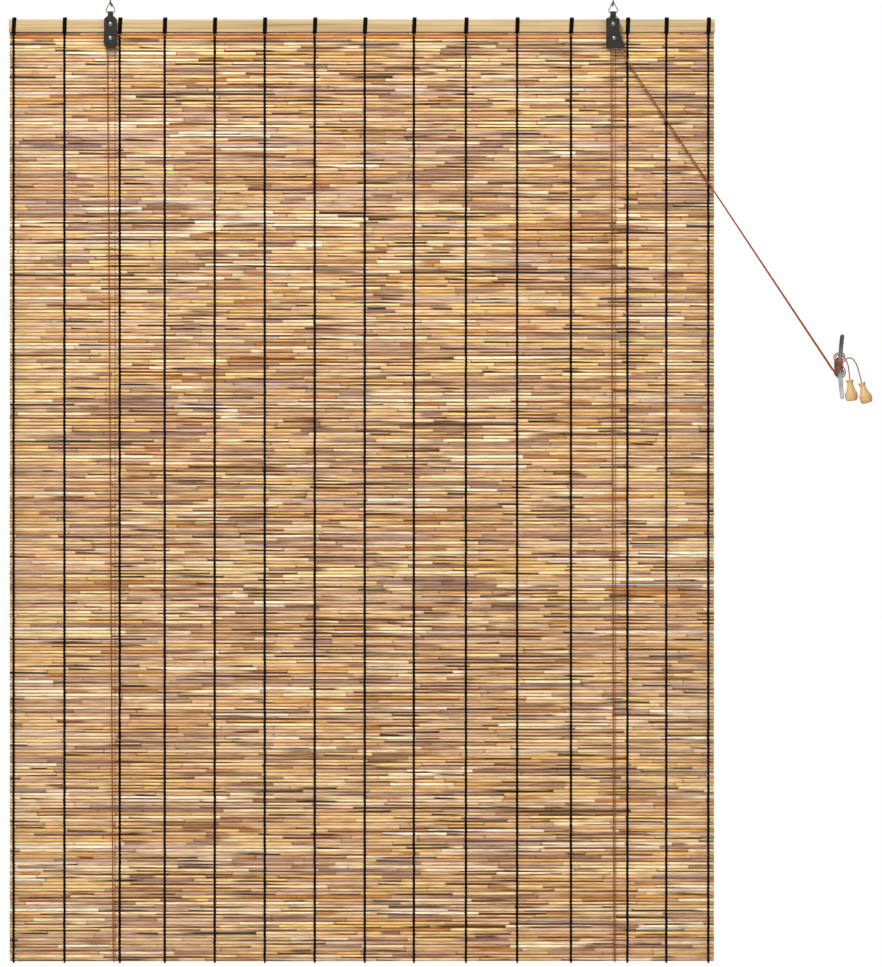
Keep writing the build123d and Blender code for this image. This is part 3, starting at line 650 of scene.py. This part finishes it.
def spline_line(route, step):
    """Points along the smooth spline of a route, about a step apart."""
    curve = bpy.data.curves.new("route", "CURVE")
    curve.dimensions = "3D"
    curve.resolution_u = 24
    spline = curve.splines.new("NURBS")
    spline.points.add(len(route) - 1)
    for point, place in zip(spline.points, route):
        point.co = (*(v * MM for v in place), 1.0)
    spline.order_u = 3
    spline.use_endpoint_u = True
    holder = bpy.data.objects.new("route", curve)
    mesh = bpy.data.meshes.new_from_object(holder)
    line = np.array([v.co for v in mesh.vertices], float)
    bpy.data.meshes.remove(mesh)
    bpy.data.objects.remove(holder)
    bpy.data.curves.remove(curve)
    along = distance_along(line)
    at = np.linspace(0, along[-1], max(2, round(along[-1] / step)))
    return np.stack([np.interp(at, along, line[:, n]) for n in range(3)], 1)


def lay_rope(mesh, line, start=0.0):
    """A rope along a line that begins at a distance, start, along its cord."""
    mesh.add(tube(line, CORD_RADIUS, CORD_SIDES, start=start, **ROPE))


for name, route in (("left", LEFT_PULL), ("right", RIGHT_PULL)):
    line = spline_line(route, PULL_STEP)
    built = Mesh()
    lay_rope(built, line)
    cord = built.make(f"{name}_pull_rope", CORD, "cord")
    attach(cord, "rail")
    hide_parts(f"{name}_pull_cord")


def lift_rope(lines, high, low):
    """The runs of the lift cords between two heights, each a point longer at both ends."""
    built = Mesh()
    for line in lines:
        along = distance_along(line)
        inside = np.nonzero((line[:, 2] <= high) & (line[:, 2] >= low))[0]
        for run in np.split(inside, np.nonzero(np.diff(inside) > 1)[0] + 1):
            run = np.arange(max(run[0] - 1, 0), min(run[-1] + 1, len(line) - 1) + 1)
            lay_rope(built, line[run], start=along[run[0]])
    return built


# The lift cords are cut halfway down each strip, so that each piece spans the fold between two.
lift_lines = [spline_line(route, LIFT_STEP) for route in (LEFT_LIFT, RIGHT_LIFT)]
folds = [MAT_TOP_Z - (TOP_REEDS + n * STRIP_REEDS) * PITCH for n in range(len(STRIPS))]
cuts = [math.inf] + [z - STRIP_REEDS / 2 * PITCH for z in folds] + [-math.inf]
carriers = ["rail"] + [BODY_OF[strip] for strip in STRIPS]
for number, (high, low) in enumerate(zip(cuts, cuts[1:])):
    piece = lift_rope(lift_lines, high, low).make(f"lift_rope_{number:02d}", CORD, "cord")
    if number < len(folds):
        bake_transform(piece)
    else:
        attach(piece, carriers[number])
    if number == 0:
        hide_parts("left_lift_cord", "right_lift_cord")

# ---- sleeves and knots of the warps --------------------------------------------
RAIL_LOW, RAIL_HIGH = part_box("head_rail")
SLEEVE_TURNS = 5
SLEEVE_PITCH = 1.34 * MM
SLEEVE_THREAD = 0.82 * MM                # its radius
SLEEVE_SIDES = 6
SLEEVE_STAND = 0.75 * MM                 # of the thread's middle off the rail's front and back
SLEEVE_BELOW, SLEEVE_ABOVE = 1.6 * MM, 3.0 * MM
SIDE_SHARES = (0.12, 0.5, 0.88)          # where a turn's points lie along each of its four sides
KNOT_SIDES = 6
RAIL_KNOT, END_KNOT = 1.35 * MM, 1.5 * MM


def cut_corners(loop):
    following = np.roll(loop, -1, 0)
    pairs = [loop * 0.75 + following * 0.25, loop * 0.25 + following * 0.75]
    return np.stack(pairs, 1).reshape(-1, 3)


def wound_sleeve(mesh, x, rng):
    """Thread wound side by side round the rail, its turns leaning a little."""
    y_front, y_back = RAIL_LOW.y - SLEEVE_STAND, RAIL_HIGH.y + SLEEVE_STAND
    z_low, z_high = RAIL_LOW.z - SLEEVE_BELOW, RAIL_HIGH.z + SLEEVE_ABOVE
    corners = [(y_front, z_low), (y_front, z_high), (y_back, z_high), (y_back, z_low)]
    lean = rng.uniform(0.7, 1.6) * MM
    for turn in range(SLEEVE_TURNS):
        middle = x + (turn - SLEEVE_TURNS // 2) * SLEEVE_PITCH
        points = []
        for (y0, z0), (y1, z1) in zip(corners, corners[1:] + corners[:1]):
            for share in SIDE_SHARES:
                y, z = y0 + (y1 - y0) * share, z0 + (z1 - z0) * share
                tilt = lean * (z - z_low) / (z_high - z_low)
                wander = rng.uniform(-0.12, 0.12) * MM
                bulge = rng.uniform(0, 0.3) * MM * (share == 0.5)
                points.append((middle + tilt + wander, y, z + bulge))
        line = cut_corners(cut_corners(np.array(points)))
        overlapped = np.concatenate([line, line[:2]])
        mesh.add(tube(overlapped, SLEEVE_THREAD, SLEEVE_SIDES)[1:-1], closed=True)


def knot(mesh, centre, size, lean):
    """A small overhand knot, seen face on and turned by lean."""
    t = np.linspace(-0.2, 2 * math.pi * 0.985, 54)
    x = (np.sin(t) + 2 * np.sin(2 * t)) * size / 3
    y = np.sin(3 * t) * 1.5 * size / 3
    z = (np.cos(t) - 2 * np.cos(2 * t)) * size / 3
    c, s = math.cos(lean), math.sin(lean)
    line = np.stack([x * c - z * s, y, x * s + z * c], 1) + np.array(centre)
    mesh.add(tube(line, size * 0.42, KNOT_SIDES))


rng = np.random.default_rng(77)
sleeves, nubs, ends = Mesh(), Mesh(), Mesh()
rail_knot_y, rail_knot_z = RAIL_LOW.y - 1.0 * MM, RAIL_LOW.z - 1.4 * MM
end_knot_y, end_knot_z = MAT_Y - 0.3 * MM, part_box(STRIPS[-1])[0].z - 1.6 * MM
for x in WARP_X:
    wound_sleeve(sleeves, x * MM, rng)
    knot(nubs, ((x - 2.2) * MM, rail_knot_y, rail_knot_z), RAIL_KNOT, rng.uniform(-1, 1))
    knot(ends, (x * MM, end_knot_y, end_knot_z), END_KNOT, rng.uniform(-0.9, 0.9))
sleeve_piece = sleeves.make("wound_sleeves", THREAD, "black_thread")
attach(sleeve_piece, "rail")
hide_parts("warp_sleeves")
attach(nubs.make("sleeve_knots", THREAD, "black_thread"), "rail")
end_piece = ends.make("end_knots", THREAD, "black_thread")
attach(end_piece, BODY_OF[STRIPS[-1]])
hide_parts("warp_end_knots")

# ---- floor and light -----------------------------------------------------------
FLOOR_DROP = 0.25
FLOOR_REACH = 2.6


def lay_floor(z, reach):
    """A square of pale paper."""
    corners = ((-reach, -reach), (reach, -reach), (reach, reach), (-reach, reach))
    mesh = bpy.data.meshes.new("floor")
    mesh.from_pydata([(x, y, z) for x, y in corners], [], [(0, 1, 2, 3)])
    look = Nodes("floor_paper", Roughness=0.9)
    look.colour(look.ramp(look.noise((3, 3, 3), 2), (0.3, grey(0.82)), (0.7, grey(0.86))))
    mesh.materials.append(look.material)
    floor = bpy.data.objects.new("floor", mesh)
    bpy.context.scene.collection.objects.link(floor)


def soft_light(name, location, target, size, power):
    data = bpy.data.lights.new(name, "AREA")
    data.shape = "DISK"
    data.size = size
    data.energy = power
    light = bpy.data.objects.new(name, data)
    light.location = location
    light.rotation_euler = (Vector(target) - Vector(location)).to_track_quat("-Z", "Y").to_euler()
    bpy.context.scene.collection.objects.link(light)


def studio_world():
    """The studio's walls: white at the horizon, darker above and below it."""
    world = bpy.data.worlds.new("studio")
    world.use_nodes = True
    nodes, links = world.node_tree.nodes, world.node_tree.links
    direction = nodes.new("ShaderNodeTexCoord")
    split = nodes.new("ShaderNodeSeparateXYZ")
    height = nodes.new("ShaderNodeMath")
    height.operation = "ABSOLUTE"
    ramp = nodes.new("ShaderNodeValToRGB")
    for element, position, value in zip(ramp.color_ramp.elements, (0.12, 0.25), (1.0, 0.3)):
        element.position = position
        element.color = grey(value)
    links.new(direction.outputs["Generated"], split.inputs["Vector"])
    links.new(split.outputs["Z"], height.inputs[0])
    links.new(height.outputs["Value"], ramp.inputs["Fac"])
    links.new(ramp.outputs["Color"], nodes["Background"].inputs["Color"])
    nodes["Background"].inputs["Strength"].default_value = 1.0
    return world


lay_floor(CAD_BOX[0].z - FLOOR_DROP, FLOOR_REACH)
soft_light("key", location=(-1.0, -3.0, 3.4), target=(0, 0, -0.8), size=0.9, power=330)
soft_light("fill", location=(2.8, -3.4, 0.2), target=(0.2, 0, -0.8), size=2.0, power=35)
soft_light("back", location=(0.5, 3.5, 1.8), target=(0, 0, -0.8), size=1.6, power=120)
bpy.context.scene.world = studio_world()
